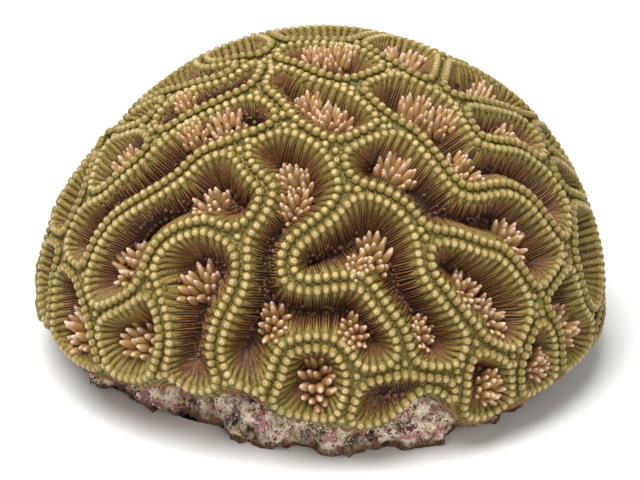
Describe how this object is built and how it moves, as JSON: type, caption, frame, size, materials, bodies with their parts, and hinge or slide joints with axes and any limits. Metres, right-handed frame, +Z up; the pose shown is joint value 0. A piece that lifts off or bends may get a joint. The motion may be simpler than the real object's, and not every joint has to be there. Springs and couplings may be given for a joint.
{
  "type": "honeycomb coral",
  "caption": "Domed honeycomb coral colony with meandering walled cups, growing on a flat-bottomed piece of reef rock.",
  "frame": {"origin": "under the middle of the whole object, on the plane of the rock's flat underside", "axes": "+Z up, the pictured side faces -Y, +X to the right of that view"},
  "size_m": [0.1184, 0.1029, 0.0684],
  "materials": {
    "coral": "living coral tissue over a limestone skeleton: olive ridges, brown cup walls, peach finger clusters",
    "rock": "rough pitted reef rock with pink and purple crusts"
  },
  "bodies": {
    "root": {"coral_colony": "coral", "base_rock": "rock"}
  },
  "joints": []
}
